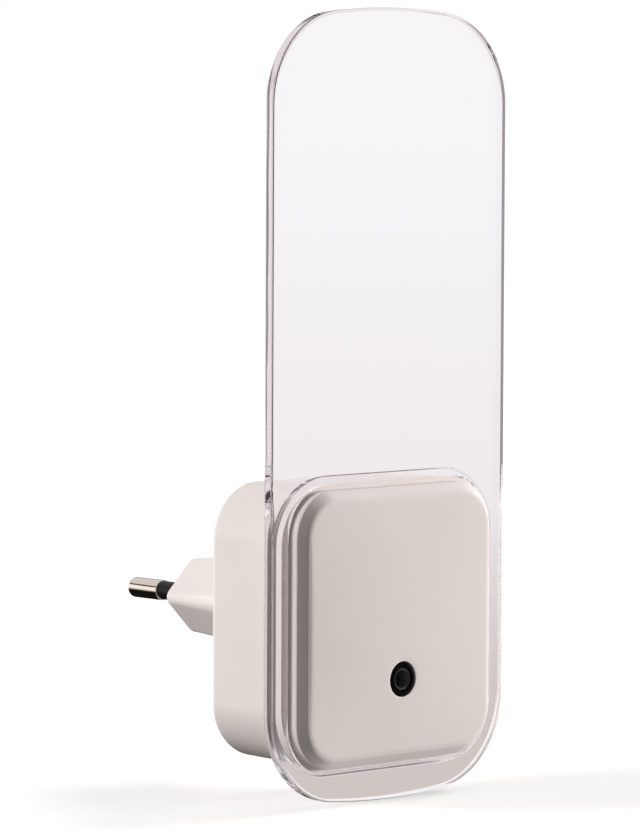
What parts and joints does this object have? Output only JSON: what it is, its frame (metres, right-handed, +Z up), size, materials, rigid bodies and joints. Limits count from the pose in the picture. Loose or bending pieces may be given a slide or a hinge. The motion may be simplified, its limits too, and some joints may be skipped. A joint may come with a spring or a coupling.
{
  "type": "plug-in night light",
  "caption": "White plug-in night light with round pins and a tall clear light-guide panel round a pillow-shaped cover",
  "frame": {"origin": "Midway between the two pin axes, on the flat end face of the plug", "axes": "+Z up, +X to the right seen from the front, front faces -Y, the pins point to +Y into the wall socket"},
  "size_m": [0.061, 0.0659, 0.148],
  "materials": {
    "white_case": "satin",
    "clear_acrylic": "polished",
    "nickel_plate": "polished",
    "black_plastic": "matte",
    "grey_plastic": "matte",
    "zinc_steel": "satin",
    "contact_brass": "satin",
    "board_laminate": "matte",
    "led_epoxy": "gloss",
    "sensor_epoxy": "gloss",
    "yellow_film": "satin",
    "capacitor_sleeve": "satin",
    "resistor_green": "satin",
    "resistor_tan": "satin"
  },
  "bodies": {
    "root": {"rear_housing": "white_case", "front_cover": "white_case", "light_panel": "clear_acrylic", "left_pin": "nickel_plate", "right_pin": "nickel_plate", "left_sleeve": "black_plastic", "right_sleeve": "black_plastic", "pin_retainer": "grey_plastic", "retainer_screw": "zinc_steel", "left_contact": "contact_brass", "right_contact": "contact_brass", "circuit_board": "board_laminate", "board_screws": "zinc_steel", "led_holder": "grey_plastic", "left_led": "led_epoxy", "middle_led": "led_epoxy", "right_led": "led_epoxy", "sensor_shade": "black_plastic", "light_sensor": "sensor_epoxy", "film_capacitor": "yellow_film", "smoothing_capacitor": "capacitor_sleeve", "bridge_rectifier": "black_plastic", "fuse_resistor": "resistor_green", "bleed_resistor": "resistor_tan", "switching_transistor": "black_plastic"}
  },
  "joints": []
}
